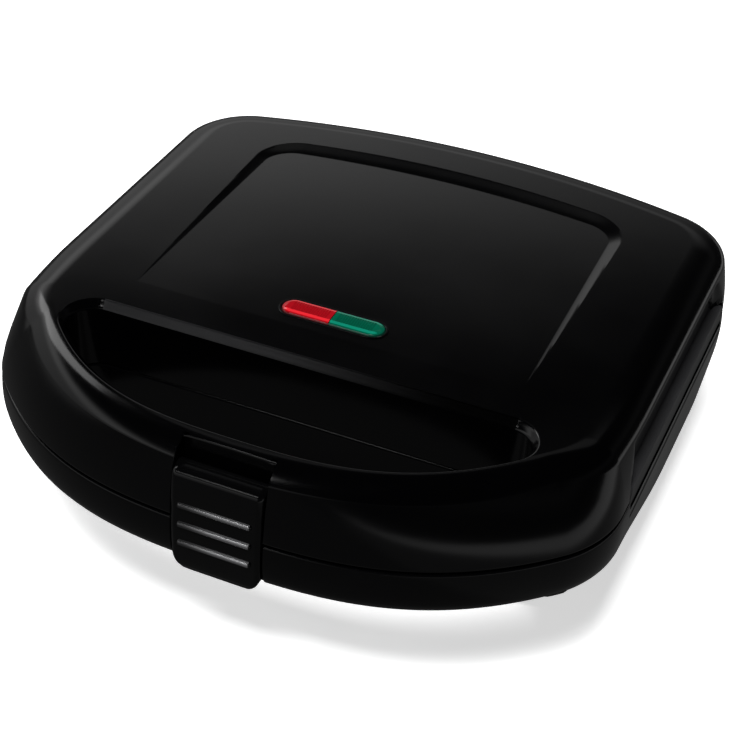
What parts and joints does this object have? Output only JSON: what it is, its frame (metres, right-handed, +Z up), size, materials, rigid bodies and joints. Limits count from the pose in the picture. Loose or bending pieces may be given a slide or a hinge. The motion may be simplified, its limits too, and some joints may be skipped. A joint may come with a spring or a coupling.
{
  "type": "sandwich toaster",
  "caption": "Countertop sandwich toaster with a hinged lid, a bowed loop handle, a swinging clip, pilot lights and moulded cooking plates.",
  "frame": {"origin": "on the worktop, under the middle of the body", "axes": "+Z up, -Y towards the handle and the user, +Y towards the hinge, +X to the right as the user sees it"},
  "size_m": [0.2448, 0.2572, 0.0912],
  "materials": {
    "shell": "gloss black moulded plastic",
    "tub": "gloss black moulded plastic",
    "bottom": "matt black moulded plastic",
    "liner": "matt black heat-resistant plastic",
    "plate": "die-cast, dark non-stick coating",
    "element": "oxidised tube sheath",
    "reflector": "bright pressed sheet",
    "thermostat": "glazed ceramic body",
    "fuse": "ceramic tube",
    "terminal": "white steatite",
    "bush": "soft black moulding",
    "foot": "soft black rubber",
    "pin": "drawn steel",
    "screw": "zinc-plated steel",
    "bezel": "gloss black frame",
    "lens_red": "clear red moulded lens",
    "lens_green": "clear green moulded lens",
    "neon": "clear glass envelope",
    "holder": "white moulded plastic",
    "clip": "gloss black moulded plastic"
  },
  "bodies": {
    "base": {"base_rim": "shell", "base_tub": "tub", "bottom_cover": "bottom", "feet": "foot", "cover_screws": "screw", "lower_plate": "plate", "lower_element": "element", "lower_reflector": "reflector", "thermostat": "thermostat", "terminal_block": "terminal", "cord_bush": "bush", "hinge_pins": "pin"},
    "lid": {"lid_cover": "shell", "lid_liner": "liner", "upper_plate": "plate", "upper_element": "element", "upper_reflector": "reflector", "thermal_fuse": "fuse", "light_bezel": "bezel", "lens_red": "lens_red", "lens_green": "lens_green", "neon_lamps": "neon", "lamp_holder": "holder", "liner_screws": "screw", "clip_pin": "pin"},
    "clip": {"clip": "clip"}
  },
  "joints": [
    {"name": "lid_hinge", "type": "hinge", "parent": "base", "child": "lid", "pos_m": [0, 0.122, 0.0626], "axis": [-1, 0, 0], "range_deg": [0, 100]},
    {"name": "clip_pivot", "type": "hinge", "parent": "lid", "child": "clip", "pos_m": [0, -0.1191, 0.079], "axis": [-1, 0, 0], "range_deg": [0, 35]}
  ]
}
